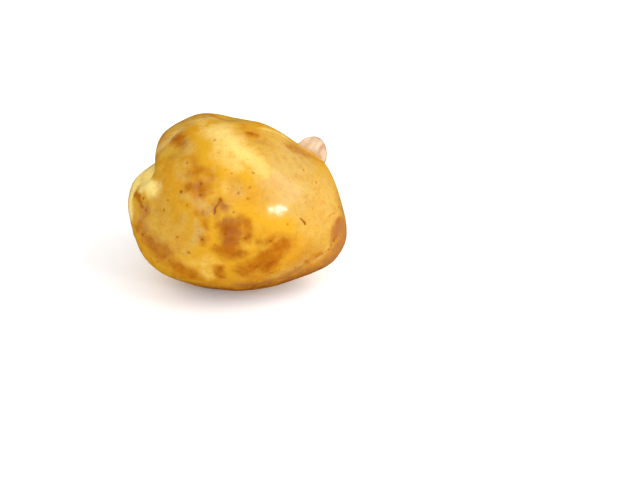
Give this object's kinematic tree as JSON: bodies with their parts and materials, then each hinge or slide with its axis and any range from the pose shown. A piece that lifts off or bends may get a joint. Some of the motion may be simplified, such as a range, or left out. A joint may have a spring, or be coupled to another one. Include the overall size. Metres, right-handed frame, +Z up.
{
  "type": "potato",
  "caption": "Lumpy washed new potato with a thin patchy skin, small shallow eyes, a notch at its bud end and a loose flake of its own skin, resting on a small flat spot.",
  "frame": {"origin": "on the surface it rests on, under the middle of its box", "axes": "+X along its length, from the bud end to the cheek; -Y its front; +Z up"},
  "size_m": [0.068, 0.058, 0.053],
  "materials": {
    "skin": "satin"
  },
  "bodies": {
    "root": {"potato": "skin"}
  },
  "joints": []
}
